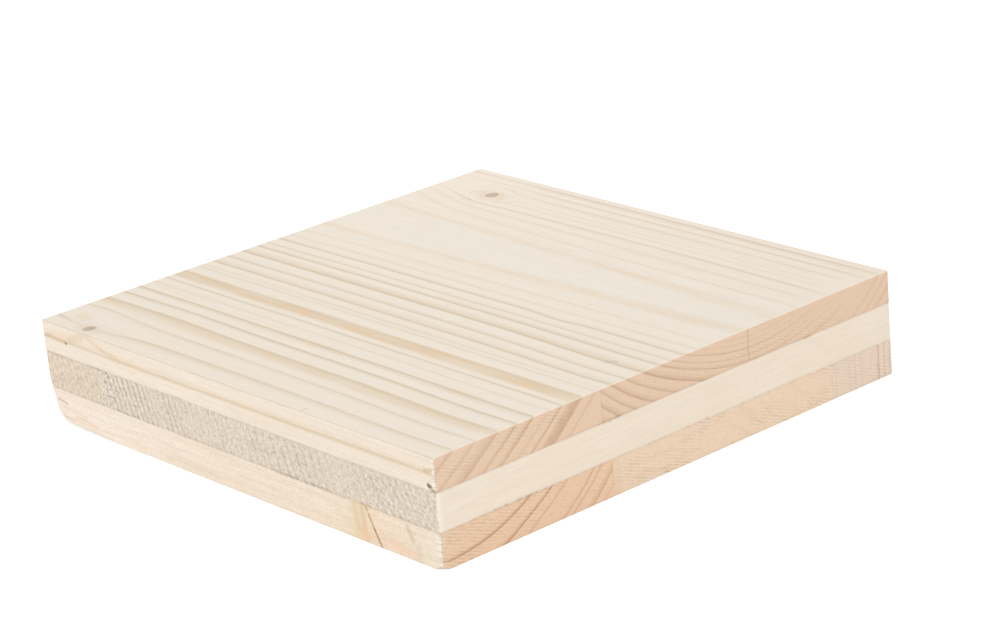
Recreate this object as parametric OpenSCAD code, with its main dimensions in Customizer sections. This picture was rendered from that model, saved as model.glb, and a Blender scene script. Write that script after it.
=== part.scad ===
// Three-ply solid wood panel: a squared sample cut from a cross-laminated softwood board.
// Each ply is made of solid boards glued edge to edge. The boards of the top and the
// bottom ply run along X, the boards of the core ply run across them, along Y.
// The origin is the centre of the underside, and +Z points up through the plies.

/* [Panel] */
// Length along the grain of the top and bottom plies
panel_l = 150; // [100:1:600]
// Width across the grain of the top and bottom plies
panel_w = 147; // [140:1:600]

/* [Plies] */
// Thickness of the top ply
top_t = 8.3; // [6:0.1:12]
// Thickness of the core ply
core_t = 9.5; // [6:0.1:20]
// Thickness of the bottom ply
bottom_t = 9.2; // [6:0.1:12]

/* [Boards] */
// Width of the first top board, whose neighbour fills the rest of the ply
top_first_w = 50; // [20:0.5:100]
// Width of the first core board, whose neighbour fills the rest of the ply
core_first_w = 22.5; // [10:0.5:80]
// Width of the first bottom board
bottom_first_w = 52; // [30:0.5:60]
// Width of the second bottom board, whose neighbour fills the rest of the ply
bottom_second_w = 73.5; // [30:0.5:75]

/* [Edges] */
// How far the saw-cut edges are eased
arris = 0.3; // [0.1:0.1:1]
// How far the knocked corner is worn away, as a share of its real wear
corner_wear = 1; // [0.1:0.1:1.5]

/* [Hidden] */

panel_t = bottom_t + core_t + top_t;
core_z = bottom_t;
top_z = bottom_t + core_t;

// Distances from the low edge of each ply to the glue joints between its boards
top_joints = [top_first_w];
core_joints = [core_first_w];
bottom_joints = [bottom_first_w, bottom_first_w + bottom_second_w];

// Flats of the knocked lower corner, each as its reach along X, Y and Z:
// one up the vertical edge, one across the corner, and one long and shallow below
knocked_flats = [[3.2, 3, 13], [6.2, 6, 5.4], [28, 18, 1.35]];
// The single flat of the clipped lower corner at the other end of the same edge
clipped_flat = [2.8, 2.3, 1.5];

top_wood = "#EBE0CF";
core_wood = "#E6D9C2";
bottom_wood = "#EAD9C0";

// Span of board i of a ply of width total, as its low and high distance
function span(joints, i, total) =
    [i == 0 ? 0 : joints[i - 1], i == len(joints) ? total : joints[i]];

// A rectangle with its corners cut back by the eased edge
module eased_rectangle(a, b) {
    x = a / 2;
    y = b / 2;
    polygon([
        [-x + arris, -y], [x - arris, -y], [x, -y + arris], [x, y - arris],
        [x - arris, y], [-x + arris, y], [-x, y - arris], [-x, -y + arris]
    ]);
}

// A flat that takes a corner off a solid lying in the +X +Y +Z octant
module corner_flat(reach) {
    normal = [1 / reach.x, 1 / reach.y, 1 / reach.z];
    foot = normal / (normal * normal);
    tilt = acos(normal.z / norm(normal));
    turn = atan2(normal.y, normal.x);
    side = 2.5 * max(reach);
    translate(foot)
        rotate([0, tilt, turn])
            translate([-side / 2, -side / 2, -side])
                cube(side);
}

// The outside of the whole panel, with eased edges and its two worn lower corners
module panel_outside() {
    difference() {
        intersection() {
            linear_extrude(panel_t)
                eased_rectangle(panel_l, panel_w);
            translate([-panel_l / 2, 0, panel_t / 2])
                rotate([90, 0, 90])
                    linear_extrude(panel_l)
                        eased_rectangle(panel_w, panel_t);
            translate([0, panel_w / 2, panel_t / 2])
                rotate([90, 0, 0])
                    linear_extrude(panel_w)
                        eased_rectangle(panel_l, panel_t);
        }
        translate([-panel_l / 2, -panel_w / 2, 0])
            for (reach = knocked_flats)
                corner_flat(reach * corner_wear);
        translate([panel_l / 2, -panel_w / 2, 0])
            mirror([1, 0, 0])
                corner_flat(clipped_flat * corner_wear);
    }
}

// A board of the top or bottom ply, running along X
module face_board(z, thickness, joints, i) {
    y = span(joints, i, panel_w);
    intersection() {
        panel_outside();
        translate([-panel_l / 2, y[0] - panel_w / 2, z])
            cube([panel_l, y[1] - y[0], thickness]);
    }
}

// A board of the core ply, running along Y
module core_board(i) {
    x = span(core_joints, i, panel_l);
    intersection() {
        panel_outside();
        translate([x[0] - panel_l / 2, -panel_w / 2, core_z])
            cube([x[1] - x[0], panel_w, core_t]);
    }
}

module top_board_1() {
    color(top_wood)
        face_board(top_z, top_t, top_joints, 0);
}

module top_board_2() {
    color(top_wood)
        face_board(top_z, top_t, top_joints, 1);
}

module core_board_1() {
    color(core_wood)
        core_board(0);
}

module core_board_2() {
    color(core_wood)
        core_board(1);
}

module bottom_board_1() {
    color(bottom_wood)
        face_board(0, bottom_t, bottom_joints, 0);
}

module bottom_board_2() {
    color(bottom_wood)
        face_board(0, bottom_t, bottom_joints, 1);
}

module bottom_board_3() {
    color(bottom_wood)
        face_board(0, bottom_t, bottom_joints, 2);
}

top_board_1();
top_board_2();
core_board_1();
core_board_2();
bottom_board_1();
bottom_board_2();
bottom_board_3();
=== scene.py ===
# %% [markdown]
# # A three-ply solid wood panel
#
# The object is a squared offcut of solid wood panel, 150 by 147 by 27 mm. Spruce boards
# are glued edge to edge into three plies, and the middle ply is turned a quarter turn.
# This lesson dresses the seven boards: each gets a mesh with eased arrises, saw marks and
# torn fibres, and a material whose growth rings run right through the wood.
#
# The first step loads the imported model. It gives the size and place of every board, so
# no length of the panel is typed in twice.

import math
from collections import namedtuple
from typing import NamedTuple

import bmesh
import bpy
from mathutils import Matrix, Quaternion, Vector, noise


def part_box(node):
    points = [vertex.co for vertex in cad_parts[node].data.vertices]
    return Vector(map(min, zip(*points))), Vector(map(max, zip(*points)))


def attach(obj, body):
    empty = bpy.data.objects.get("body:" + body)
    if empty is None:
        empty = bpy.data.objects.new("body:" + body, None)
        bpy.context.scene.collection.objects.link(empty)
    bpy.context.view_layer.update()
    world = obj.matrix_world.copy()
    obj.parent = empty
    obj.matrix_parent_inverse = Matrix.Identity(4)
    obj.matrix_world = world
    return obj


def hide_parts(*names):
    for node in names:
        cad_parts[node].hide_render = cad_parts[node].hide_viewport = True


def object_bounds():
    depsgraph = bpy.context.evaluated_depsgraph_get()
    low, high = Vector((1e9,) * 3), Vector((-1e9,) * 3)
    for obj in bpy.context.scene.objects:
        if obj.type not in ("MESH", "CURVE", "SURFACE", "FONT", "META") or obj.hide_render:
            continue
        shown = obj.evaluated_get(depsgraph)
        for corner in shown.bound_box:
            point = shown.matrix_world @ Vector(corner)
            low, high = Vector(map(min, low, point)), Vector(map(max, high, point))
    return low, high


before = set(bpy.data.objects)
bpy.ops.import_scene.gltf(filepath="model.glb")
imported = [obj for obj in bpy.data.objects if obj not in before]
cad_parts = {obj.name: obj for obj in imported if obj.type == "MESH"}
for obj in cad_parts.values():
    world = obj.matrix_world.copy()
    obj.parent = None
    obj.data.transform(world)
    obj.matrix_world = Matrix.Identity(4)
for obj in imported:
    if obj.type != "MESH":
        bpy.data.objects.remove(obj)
cad_low, cad_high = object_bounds()

MM = 0.001
LOW = cad_low / MM
HIGH = cad_high / MM
print("panel, mm:", [round(side, 1) for side in HIGH - LOW])

# %% [markdown]
# ## Camera and light
#
# A long lens from a low corner shows the top, one long side and one end, the way a
# seller shows a sample. The camera is placed by the angles a person would turn it
# through, which is easier to read and to change than a matrix.
#
# The light is that of a white studio tent. A white world lights every side alike, so
# the colour of the wood comes out about as it is written. Two soft lamps, one low in
# front of each visible side, are enough to show the saw marks. A weak lamp close behind
# lifts the far corner, so the face doesn't look flat. A hard lamp would show the relief
# better and spoil the colour.

# %% Camera
VIEW_TARGET = Vector((4.5, 8.5, 19.2)) * MM
VIEW_DISTANCE = 787.6 * MM
VIEW_AZIMUTH = -40.16
VIEW_ELEVATION = 19.755
VIEW_ROLL = 5.09
LENS = 114.4
CLIP_START = 0.01


def direction(azimuth, elevation):
    """The unit vector towards a place in the sky, from its angles in degrees."""
    around, up = math.radians(azimuth), math.radians(elevation)
    flat = math.cos(up)
    return Vector((flat * math.cos(around), flat * math.sin(around), math.sin(up)))


def look_from(item, azimuth, elevation, distance, target, roll=0.0):
    """Puts a camera or lamp at a distance from a target and turns it to face it."""
    away = direction(azimuth, elevation)
    item.location = target + away * distance
    item.rotation_mode = "QUATERNION"
    turn = Quaternion((0, 0, 1), -math.radians(roll))
    item.rotation_quaternion = (-away).to_track_quat("-Z", "Y") @ turn


camera = bpy.data.objects.new("camera", bpy.data.cameras.new("camera"))
camera.data.lens = LENS
camera.data.clip_start = CLIP_START
bpy.context.collection.objects.link(camera)
bpy.context.scene.camera = camera
bpy.context.scene.view_settings.view_transform = "Standard"
look_from(camera, VIEW_AZIMUTH, VIEW_ELEVATION, VIEW_DISTANCE, VIEW_TARGET, VIEW_ROLL)
print("camera at", [round(value, 3) for value in camera.location])

# %% Lamps
LAMP_DISTANCE = 0.9
LAMP_SIZE = 0.4
LAMP_TARGET = Vector((0, 0, 0.01))


def soft_lamp(name, azimuth, elevation, power, distance=LAMP_DISTANCE, size=LAMP_SIZE):
    """A square area lamp, aimed at the middle of the panel."""
    lamp = bpy.data.objects.new(name, bpy.data.lights.new(name, "AREA"))
    lamp.data.size = size
    lamp.data.energy = power
    bpy.context.collection.objects.link(lamp)
    look_from(lamp, azimuth, elevation, distance, LAMP_TARGET)
    print(name, "of", power, "W at", [round(value, 2) for value in lamp.location])


soft_lamp("side_lamp", azimuth=-105, elevation=18, power=1.5)
soft_lamp("end_lamp", azimuth=-9, elevation=18, power=1.62)
soft_lamp("back_lamp", azimuth=137, elevation=30, power=0.115, distance=0.35, size=0.2)

# %% White tent
WHITE = (1, 1, 1, 1)
SKY_STRENGTH = 0.815
SKY_SEEN_STRENGTH = 1.0


def seen_as_background(tree):
    """1 for a ray from the camera, off a shiny surface or through a clear one."""
    path = tree.nodes.new("ShaderNodeLightPath").outputs
    seen = path["Is Camera Ray"]
    for kind in ("Is Glossy Ray", "Is Transmission Ray"):
        either = tree.nodes.new("ShaderNodeMath")
        either.operation = "MAXIMUM"
        tree.links.new(seen, either.inputs[0])
        tree.links.new(path[kind], either.inputs[1])
        seen = either.outputs[0]
    return seen


sky = bpy.data.worlds.new("white_tent")
bpy.context.scene.world = sky
sky.use_nodes = True
background = sky.node_tree.nodes["Background"].inputs
background["Color"].default_value = WHITE
brightness = sky.node_tree.nodes.new("ShaderNodeMapRange")
brightness.inputs["To Min"].default_value = SKY_STRENGTH
brightness.inputs["To Max"].default_value = SKY_SEEN_STRENGTH
sky.node_tree.links.new(seen_as_background(sky.node_tree), brightness.inputs["Value"])
sky.node_tree.links.new(brightness.outputs["Result"], background["Strength"])
print("tent lights at", SKY_STRENGTH, "and is seen at", SKY_SEEN_STRENGTH)

# %% [markdown]
# ## Words for wiring
#
# A wood material has dozens of nodes, and long lists of links hide what it does. This
# helper gives each kind of node one short word, so a pattern reads like a formula. The
# same helper builds the node groups that several boards share.
#
# Most patterns in wood are clouds that are stretched along the grain. A grain says how
# long, wide and high such a cloud is in millimetres, and its seed picks the cloud.

# %% Wiring
MASK = "NodeSocketFloat"
VECTOR = "NodeSocketVector"
COLOUR = "NodeSocketColor"

# The Mix node lists its plain sockets first, so those for colours go by their place.
MIX_FIRST, MIX_SECOND, MIX_RESULT = 6, 7, 2


class Grain(NamedTuple):
    """The grain of a noise pattern."""

    size: tuple  # in millimetres, along the grain, across it and up
    seed: float
    detail: float = 2.0
    rough: float = 0.5


class Wiring:
    """Short words for the nodes of one material or node group."""

    def __init__(self, tree):
        self.tree = tree

    def node(self, kind, **settings):
        """A new node with its settings."""
        made = self.tree.nodes.new("ShaderNode" + kind)
        for name, value in settings.items():
            setattr(made, name, value)
        return made

    def feed(self, socket, value):
        """Links a socket to another one, or gives it a fixed value."""
        if isinstance(value, bpy.types.NodeSocket):
            self.tree.links.new(value, socket)
        else:
            socket.default_value = value

    def outputs(self, kind, *values, **settings):
        """The outputs of a new node whose first inputs are fed in order."""
        made = self.node(kind, **settings)
        for socket, value in zip(made.inputs, values):
            self.feed(socket, value)
        return made.outputs

    def math(self, operation, *values):
        """One operation on numbers."""
        return self.outputs("Math", *values, operation=operation)[0]

    def vector(self, operation, *values, output="Vector"):
        """One operation on vectors."""
        return self.outputs("VectorMath", *values, operation=operation)[output]

    def plus(self, *values):
        """The sum of several values."""
        total = values[0]
        for value in values[1:]:
            total = self.math("ADD", total, value)
        return total

    def times(self, *values):
        """The product of several values."""
        product = values[0]
        for value in values[1:]:
            product = self.math("MULTIPLY", product, value)
        return product

    def stretch(self, place, factor):
        """A vector times one number."""
        made = self.node("VectorMath", operation="SCALE")
        self.feed(made.inputs["Vector"], place)
        self.feed(made.inputs["Scale"], factor)
        return made.outputs["Vector"]

    def parts(self, place):
        """The part of a vector along the grain, across it and up."""
        return self.outputs("SeparateXYZ", place)

    def ramp(self, value, edge, low=0.0, high=1.0, interpolation="SMOOTHSTEP"):
        """Runs from low to high as the value crosses an edge, given as (start, end)."""
        start, end = edge
        made = self.node("MapRange", interpolation_type=interpolation)
        for name, number in (("Value", value), ("From Min", start), ("From Max", end),
                             ("To Min", low), ("To Max", high)):
            self.feed(made.inputs[name], number)
        return made.outputs["Result"]

    def fall(self, value, edge):
        """Runs from 1 down to 0 as the value crosses an edge."""
        return self.ramp(value, edge, low=1.0, high=0.0)

    def between(self, mask, low, high):
        """Low where a mask is 0 and high where it is 1."""
        return self.ramp(mask, (0, 1), low, high)

    def share(self, value, start=0.0, end=1.0):
        """How far a value has come from start to end, as a straight line from 0 to 1."""
        return self.ramp(value, (start, end), interpolation="LINEAR")

    def noise(self, place, grain):
        """Clouds of a grain, with a mean of a half."""
        made = self.node("TexNoise", noise_dimensions="4D")
        self.feed(made.inputs["Vector"], self.vector("DIVIDE", place, grain.size))
        self.feed(made.inputs["W"], grain.seed)
        self.feed(made.inputs["Scale"], 1.0)
        self.feed(made.inputs["Detail"], grain.detail)
        self.feed(made.inputs["Roughness"], grain.rough)
        return made.outputs[0]

    def swing(self, place, grain, reach=1.0):
        """Clouds of a grain that swing between minus and plus the reach."""
        return self.math("MULTIPLY_ADD", self.noise(place, grain), 2 * reach, -reach)

    def mix(self, amount, first, second, blend="MIX"):
        """A colour between two, or the first one blended with the second."""
        made = self.node("Mix", data_type="RGBA", blend_type=blend)
        self.feed(made.inputs["Factor"], amount)
        self.feed(made.inputs[MIX_FIRST], first)
        self.feed(made.inputs[MIX_SECOND], second)
        return made.outputs[MIX_RESULT]

    def use(self, group, output=None, **values):
        """Places a shared group, fed by socket name, and gives one output or all."""
        made = self.node("Group", node_tree=group)
        for name, value in values.items():
            self.feed(made.inputs[name.replace("_", " ")], value)
        return made.outputs[output] if output else made.outputs


# %% Shared groups and colours
def shared_group(name, inputs, outputs, build):
    """A node group with named sockets; build() gets its wiring and returns the outputs."""
    tree = bpy.data.node_groups.new(name, "ShaderNodeTree")
    for title, kind in inputs.items():
        tree.interface.new_socket(title, in_out="INPUT", socket_type=kind)
    for title, kind in outputs.items():
        tree.interface.new_socket(title, in_out="OUTPUT", socket_type=kind)
    wires = Wiring(tree)
    entry = tree.nodes.new("NodeGroupInput")
    leave = tree.nodes.new("NodeGroupOutput")
    made = build(wires, {socket.name: socket for socket in entry.outputs})
    for title in outputs:
        wires.feed(leave.inputs[title], made[title])
    print("group", name, "with", len(tree.nodes), "nodes")
    return tree


def linear(part):
    """One part of a screen colour, 0 to 255, as the linear light that a shader uses."""
    value = part / 255
    return value / 12.92 if value <= 0.04045 else ((value + 0.055) / 1.055) ** 2.4


def paint(red, green, blue):
    """A colour as a screen shows it, 0 to 255, for a shader's socket."""
    return (linear(red), linear(green), linear(blue), 1.0)


print("pale spruce is", [round(part, 3) for part in paint(240, 228, 212)])

# %% [markdown]
# ## Ground
#
# The panel lies on a plain white sheet. To the camera and in reflections the sheet has a
# little brightness of its own, enough to look pure white, while diffuse light sees only
# paper. So the shadow stays and no extra light falls on the wood.

# %% Ground
GROUND_SIDE = 6.0
PAPER = (0.82, 0.82, 0.82, 1)
PAPER_ROUGHNESS = 0.9
PAPER_GLOSS = 0.0
BACKGROUND_LIFT = 0.5


def paper_material():
    """White paper that looks pure white to the camera."""
    material = bpy.data.materials.new("ground_white")
    material.use_nodes = True
    wires = Wiring(material.node_tree)
    paper = material.node_tree.nodes["Principled BSDF"].inputs
    paper["Base Color"].default_value = PAPER
    paper["Roughness"].default_value = PAPER_ROUGHNESS
    paper["Specular IOR Level"].default_value = PAPER_GLOSS
    paper["Emission Color"].default_value = WHITE
    seen = seen_as_background(material.node_tree)
    wires.feed(paper["Emission Strength"], wires.times(seen, BACKGROUND_LIFT))
    return material


def ground():
    """The sheet that the panel lies on. It is the stage, not a piece of the object."""
    mesh = bpy.data.meshes.new("ground")
    bm = bmesh.new()
    bmesh.ops.create_grid(bm, x_segments=1, y_segments=1, size=GROUND_SIDE / 2)
    bm.to_mesh(mesh)
    bm.free()
    sheet = bpy.data.objects.new("ground", mesh)
    sheet.location.z = cad_low.z
    bpy.context.collection.objects.link(sheet)
    mesh.materials.append(paper_material())
    print("ground of", GROUND_SIDE, "m at height", round(sheet.location.z, 4))


ground()

# %% [markdown]
# ## Where the wood is
#
# A plank is cut from a trunk, so its pattern is solid: the same ring shows on the face,
# the edge and the end. The pattern could be painted on each face by itself, but the
# rings wouldn't meet at the arrises. So it starts from the place in the wood, in
# millimetres, with the grain along the first axis. The core boards lie crosswise, and
# for them the first two axes change places.
#
# Much in wood is local: a branch pushes the rings aside, rings are faint in one place,
# or the wood has another tint. A soft spot is a bell-shaped hill with a centre and a
# reach, and it serves for all of these.

# %% Place in the wood
class Spot(NamedTuple):
    """A soft spot in the wood, in millimetres."""

    centre: tuple
    reach: tuple  # how wide the bell is on each axis
    height: float


def place_in_wood(wires, crosswise):
    """The place in millimetres, as (along the grain, across it, up)."""
    coordinates = wires.node("TexCoord").outputs["Object"]
    place = wires.stretch(coordinates, 1 / MM)
    if not crosswise:
        return place
    x, y, z = wires.parts(place)
    return wires.outputs("CombineXYZ", y, x, z)[0]


def build_soft_spot(wires, given):
    """A soft hill with a centre, a reach on each axis and a height."""
    gap = wires.vector("SUBTRACT", given["Place"], given["Centre"])
    gap = wires.vector("DIVIDE", gap, given["Reach"])
    share = wires.vector("LENGTH", gap, output="Value")
    bell = wires.math("EXPONENT", wires.times(share, share, -1.0))
    return {"Value": wires.times(bell, given["Height"])}


SOFT_SPOT = shared_group(
    "soft_spot",
    {"Place": VECTOR, "Centre": VECTOR, "Reach": VECTOR, "Height": MASK},
    {"Value": MASK},
    build_soft_spot,
)


def sum_of_spots(wires, place, spots):
    """The heights of several soft spots at a place, added up."""
    heights = [wires.use(SOFT_SPOT, "Value", Place=place, Centre=spot.centre,
                         Reach=spot.reach, Height=spot.height) for spot in spots]
    return wires.plus(*heights) if heights else 0.0


# %% [markdown]
# ## Growth
#
# A growth ring is a circle round the pith, so the distance from the pith gives the ring.
# Blender's wave texture draws rings too, but they are all alike, and no single one can be
# placed. The trunk is never quite straight: its pith leans, and broad soft noise moves
# the wood sideways before the distance is taken. A swelling moves it further, where a
# branch pushed the rings aside.

# %% Growth
BEND = Grain((60, 22, 22), seed=1.0, detail=1)
RIPPLE = Grain((11, 5, 5), seed=2.0, detail=1)
RIPPLE_REACH = 0.55


def build_growth(wires, given):
    """The distance from a pith that leans, in wood that wanders."""
    along, across, up = wires.parts(given["Place"])
    bend = wires.swing(given["Place"], BEND)
    ripple = wires.swing(given["Place"], RIPPLE, RIPPLE_REACH)
    sway = wires.times(wires.plus(bend, ripple), given["Wander"])
    pith = wires.vector("ADD", given["Pith"], wires.stretch(given["Lean"], along))
    pith_across, pith_up = wires.parts(pith)[1:]
    across = wires.plus(across, sway, given["Shift"])
    across = wires.math("SUBTRACT", across, pith_across)
    up = wires.math("SUBTRACT", up, pith_up)
    squares = wires.plus(wires.times(across, across), wires.times(up, up))
    return {"Radius": wires.math("SQRT", squares)}


GROWTH = shared_group(
    "growth",
    {"Place": VECTOR, "Pith": VECTOR, "Lean": VECTOR, "Wander": MASK, "Shift": MASK},
    {"Radius": MASK},
    build_growth,
)

# %% [markdown]
# ## Growth rings
#
# Each year the tree lays down pale early wood that darkens slowly into late wood and
# then stops at a sharp edge. A colour ramp over the distance from the pith draws exactly
# that: a slow rise, a peak at the ring, and a sudden end. The red part of the ramp holds
# the thin dark late wood and the green part the broad brown tint that some years have.
#
# Rings that stand out are listed one by one for each board, because their uneven gaps
# are what makes a board look like one real board. Boards with no ring that stands out
# get an even spacing, from a wave with the same shape.

# %% Ring by ring
RINGS_PER_RAMP = 7
RAMP_MARGIN = 0.5
LEAST_STEP = 0.001
SHOULDER_LINE = 0.35
NO_RING = (0, 0, 0, 1)


class Ring(NamedTuple):
    """The late wood of one year. Lengths are in millimetres, strengths from 0 to 1."""

    radius: float  # from the pith to the dark edge
    fade: float  # how long the wood darkens before that edge
    line: float  # how strong the dark line is
    band: float = 0.0  # how strong the brown band is
    edge: float = 0.3  # the length over which both end
    rise: float = 0.7  # the share of the fade in which the line is still faint


def fill_ramp(ramp, stops):
    """Gives a colour ramp its stops, (position, colour) from left to right."""
    elements = ramp.elements
    elements[0].position, elements[0].color = stops[0]
    elements[1].position, elements[1].color = stops[-1]
    for position, colour in stops[1:-1]:
        elements.new(position).color = colour


def ring_stops(rings, start, end):
    """The ramp stops of neighbouring rings between two distances from the pith."""
    span = end - start
    stops = [(0.0, NO_RING)]
    for ring in rings:
        peak = (ring.radius - start) / span
        foot = max((ring.radius - ring.fade - start) / span, stops[-1][0] + LEAST_STEP)
        shoulder = foot + (peak - foot) * ring.rise
        stops.append((foot, NO_RING))
        stops.append((shoulder, (ring.line * SHOULDER_LINE, ring.band, 0, 1)))
        stops.append((peak, (ring.line, ring.band, 0, 1)))
        stops.append((peak + ring.edge / span, NO_RING))
    stops.append((1.0, NO_RING))
    return stops


def listed_rings(wires, radius, rings):
    """Sums the ramps of a list of rings: the late wood mask and the brown band mask."""
    total = None
    for first in range(0, len(rings), RINGS_PER_RAMP):
        some = rings[first:first + RINGS_PER_RAMP]
        start = some[0].radius - some[0].fade - RAMP_MARGIN
        end = some[-1].radius + some[-1].edge + RAMP_MARGIN
        made = wires.node("ValToRGB")
        wires.feed(made.inputs[0], wires.share(radius, start, end))
        fill_ramp(made.color_ramp, ring_stops(some, start, end))
        total = made.outputs[0] if total is None else wires.vector("ADD", total, made.outputs[0])
    line, band = wires.parts(total)[:2]
    return line, band


# %% Even rings
YEAR_DRIFT = Grain((80, 6, 6), seed=3.0, detail=1)
DRIFT_REACH = 1.6
YEAR_RISE = 3.0
YEAR_DROP = (0.9, 1.0)
YEAR_STRENGTH = Grain((60, 9, 9), seed=4.0)
YEAR_SEEN = (0.3, 0.7)


def build_even_rings(wires, given):
    """Late wood at an even spacing, in some places stronger than in others."""
    drift = wires.noise(given["Place"], YEAR_DRIFT)
    year = wires.math("DIVIDE", given["Radius"], given["Spacing"])
    year = wires.math("MULTIPLY_ADD", drift, DRIFT_REACH, year)
    share = wires.math("FRACT", year)
    rise = wires.math("POWER", share, YEAR_RISE)
    drop = wires.fall(share, YEAR_DROP)
    strength = wires.ramp(wires.noise(given["Place"], YEAR_STRENGTH), YEAR_SEEN)
    return {"Line": wires.times(rise, drop, strength)}


EVEN_RINGS = shared_group(
    "even_rings",
    {"Place": VECTOR, "Radius": MASK, "Spacing": MASK},
    {"Line": MASK},
    build_even_rings,
)

# %% [markdown]
# ## Knots
#
# A small round knot is the foot of a branch. It runs outwards from the pith, so it is a
# rod through the wood and not a spot on the face: the mask is the distance from the
# rod's axis. The knot has a grey-brown heart, a darker crescent where the bark side
# was, and a tan halo that the resin drew out along the grain. Faint broken whorls lie
# round it, where the rings closed about the branch.

# %% Knot
KNOT_OUTLINE = Grain((1.5, 1.5, 1.5), seed=5.0)
OUTLINE_SWING = 0.9
HEART_EDGE = (0.7, 1.15)
CRESCENT_EDGE = (0.1, 0.9)
HALO_SHAPE = (2.2, 1, 1)
HALO_EDGE = (0.5, 1.9)
WHORL_SHAPE = (1.35, 1, 1)
WHORL_SWING = 0.6
WHORL_PERIOD = 0.78
WHORL_LINE = (0.1, 1.0)
WHORL_BREAKS = Grain((3, 2, 3), seed=17.0)
WHORL_BREAK_EDGE = (0.42, 0.6)
WHORL_START = (1.3, 1.7)
WHORL_END = (2.6, 4.8)


class Knot(NamedTuple):
    """A knot, with its place and radius in millimetres."""

    centre: tuple
    axis: tuple  # the way the branch grew, as a unit vector
    radius: float
    dark_side: tuple  # towards the crescent
    whorl: float  # how strong the lines round it are


def knot_radii(wires, side, shape, radius):
    """The distance from the knot's axis in radii, drawn out along the grain."""
    drawn_out = wires.vector("DIVIDE", side, shape)
    length = wires.vector("LENGTH", drawn_out, output="Value")
    return wires.math("DIVIDE", length, radius)


def build_knot(wires, given):
    """The heart, crescent, halo and whorl of a small round knot."""
    gap = wires.vector("SUBTRACT", given["Place"], given["Centre"])
    along = wires.vector("DOT_PRODUCT", gap, given["Axis"], output="Value")
    side = wires.vector("SUBTRACT", gap, wires.stretch(given["Axis"], along))
    distance = wires.vector("LENGTH", side, output="Value")
    uneven = wires.noise(given["Place"], KNOT_OUTLINE)
    distance = wires.math("MULTIPLY_ADD", uneven, OUTLINE_SWING, distance)
    distance = wires.math("SUBTRACT", distance, OUTLINE_SWING / 2)
    heart = wires.fall(wires.math("DIVIDE", distance, given["Radius"]), HEART_EDGE)

    lean = wires.vector("DOT_PRODUCT", side, given["Dark side"], output="Value")
    lean = wires.math("DIVIDE", lean, given["Radius"])
    crescent = wires.times(wires.ramp(lean, CRESCENT_EDGE), heart)
    halo = wires.fall(knot_radii(wires, side, HALO_SHAPE, given["Radius"]), HALO_EDGE)

    flow = knot_radii(wires, side, WHORL_SHAPE, given["Radius"])
    flow = wires.math("MULTIPLY_ADD", uneven, WHORL_SWING, flow)
    wave = wires.math("COSINE", wires.times(flow, 2 * math.pi / WHORL_PERIOD))
    broken = wires.ramp(wires.noise(given["Place"], WHORL_BREAKS), WHORL_BREAK_EDGE)
    around = wires.times(wires.ramp(flow, WHORL_START), wires.fall(flow, WHORL_END))
    whorl = wires.times(wires.ramp(wave, WHORL_LINE), broken, around)
    return {"Heart": heart, "Crescent": crescent, "Halo": halo, "Whorl": whorl}


KNOT = shared_group(
    "knot",
    {"Place": VECTOR, "Centre": VECTOR, "Axis": VECTOR, "Radius": MASK, "Dark side": VECTOR},
    {"Heart": MASK, "Crescent": MASK, "Halo": MASK, "Whorl": MASK},
    build_knot,
)

# %% [markdown]
# ## Stains
#
# A streak of resin, a scratch and a grey touch mark have one thing in common: each
# follows a short line. They could be drawn in an image, but a line in the wood needs no
# image and stays sharp. So one group serves them all. It measures the distance from a
# line between two places and lets noise fray the outline.
#
# The same streaks draw the bent grain over a small knot that lies under the surface.

# %% Stains
STREAK_OUTLINE = Grain((1.0, 1.0, 1.0), seed=13.0, detail=3)
FRAY_SWING = 1.2
FRAY_BASE = 0.4
STREAK_EDGE = (0.3, 1.0)


def build_streak(wires, given):
    """A frayed streak along the line from one place to another."""
    run = wires.vector("SUBTRACT", given["End"], given["Start"])
    gap = wires.vector("SUBTRACT", given["Place"], given["Start"])
    reached = wires.vector("DOT_PRODUCT", gap, run, output="Value")
    whole = wires.vector("DOT_PRODUCT", run, run, output="Value")
    along = wires.share(wires.math("DIVIDE", reached, whole))
    distance = wires.vector("DISTANCE", gap, wires.stretch(run, along), output="Value")
    uneven = wires.noise(given["Place"], STREAK_OUTLINE)
    distance = wires.times(distance, wires.math("MULTIPLY_ADD", uneven, FRAY_SWING, FRAY_BASE))
    return {"Mask": wires.fall(wires.math("DIVIDE", distance, given["Width"]), STREAK_EDGE)}


STREAK = shared_group(
    "streak",
    {"Place": VECTOR, "Start": VECTOR, "End": VECTOR, "Width": MASK},
    {"Mask": MASK},
    build_streak,
)

# %% [markdown]
# ## Fibres and pores
#
# Along the grain spruce shows fine streaks many times longer than they are wide, and a
# few short dark resin ducts. Across the end of the fibres the same wood shows only
# specks, and a sawn long side is woolly, with a comb of fine upright marks from the
# teeth. One group makes them all from stretched noise, and the way the surface faces
# decides which one is seen.

# %% Fibres
SILK = Grain((9, 0.3, 0.3), seed=6.0, detail=3, rough=0.6)
LONG_STREAKS = Grain((38, 1.1, 1.1), seed=7.0)
CLOUDS = Grain((26, 9, 9), seed=8.0, detail=1)
DUCTS = Grain((3.2, 0.28, 0.28), seed=9.0, detail=0)
DUCT_EDGE = (0.70, 0.82)
SPECKS = Grain((4.0, 0.35, 0.35), seed=10.0, detail=3, rough=0.7)
COMB = Grain((0.42, 0.42, 2.6), seed=14.0, detail=1)
COMB_SHARE = 0.9
FUZZ = Grain((0.8, 0.4, 0.4), seed=15.0, rough=0.7)
FUZZ_SHARE = 2.6


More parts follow.
